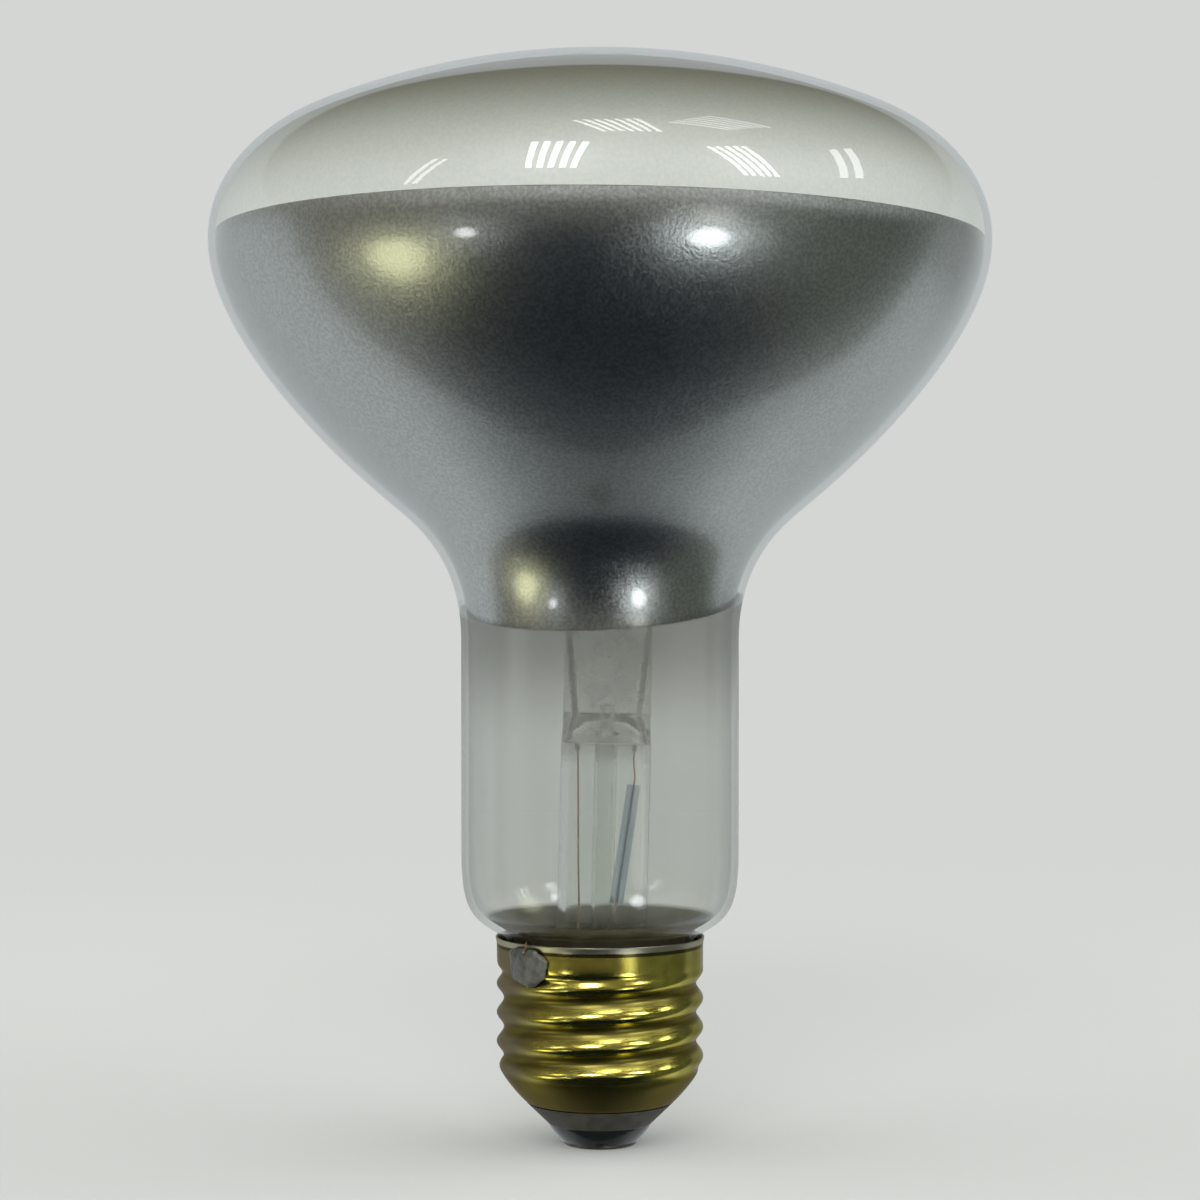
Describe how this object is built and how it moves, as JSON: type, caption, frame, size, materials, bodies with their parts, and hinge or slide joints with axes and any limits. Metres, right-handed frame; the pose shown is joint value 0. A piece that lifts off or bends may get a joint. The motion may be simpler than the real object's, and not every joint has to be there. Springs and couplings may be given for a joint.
{
  "type": "reflector bulb",
  "caption": "Mirrored reflector lamp with a frosted domed crown, clear neck showing the glass stem, and a brass screw cap.",
  "frame": {"origin": "middle of the centre contact's face, at the bottom of the cap", "axes": "+Z along the lamp's axis from the cap to the crown; -Y is the side that the picture shows"},
  "size_m": [0.0982, 0.0982, 0.1364],
  "materials": {
    "bulb_glass": "clear neck, satin inside the crown",
    "mirror_film": "fine-grained satin mirror",
    "stem_glass": "clear",
    "sleeve_glass": "blue-grey",
    "seal_wire": "oxidised copper-clad wire",
    "lead_nickel": "drawn",
    "lead_copper": "drawn",
    "filament_tungsten": "drawn",
    "cap_brass": "rolled, slightly tarnished",
    "cement": "matt",
    "black_glass": "glossy black glass",
    "contact_metal": "dull",
    "solder": "dull soft solder"
  },
  "bodies": {
    "root": {"glass_bulb": "bulb_glass", "mirror_coating": "mirror_film", "stem": "stem_glass", "exhaust_tube": "stem_glass", "arbor": "stem_glass", "left_seal_wire": "seal_wire", "right_seal_wire": "seal_wire", "left_inner_lead": "lead_nickel", "right_inner_lead": "lead_nickel", "support_wire_1": "lead_nickel", "support_wire_2": "lead_nickel", "support_wire_3": "lead_nickel", "filament": "filament_tungsten", "side_lead": "lead_copper", "fuse_lead": "lead_copper", "fuse_wire": "lead_nickel", "fuse_sleeve": "sleeve_glass", "contact_lead": "lead_copper", "cap_shell": "cap_brass", "cap_cement": "cement", "cap_insulator": "black_glass", "centre_contact": "contact_metal", "contact_solder": "solder", "side_solder": "solder"}
  },
  "joints": []
}
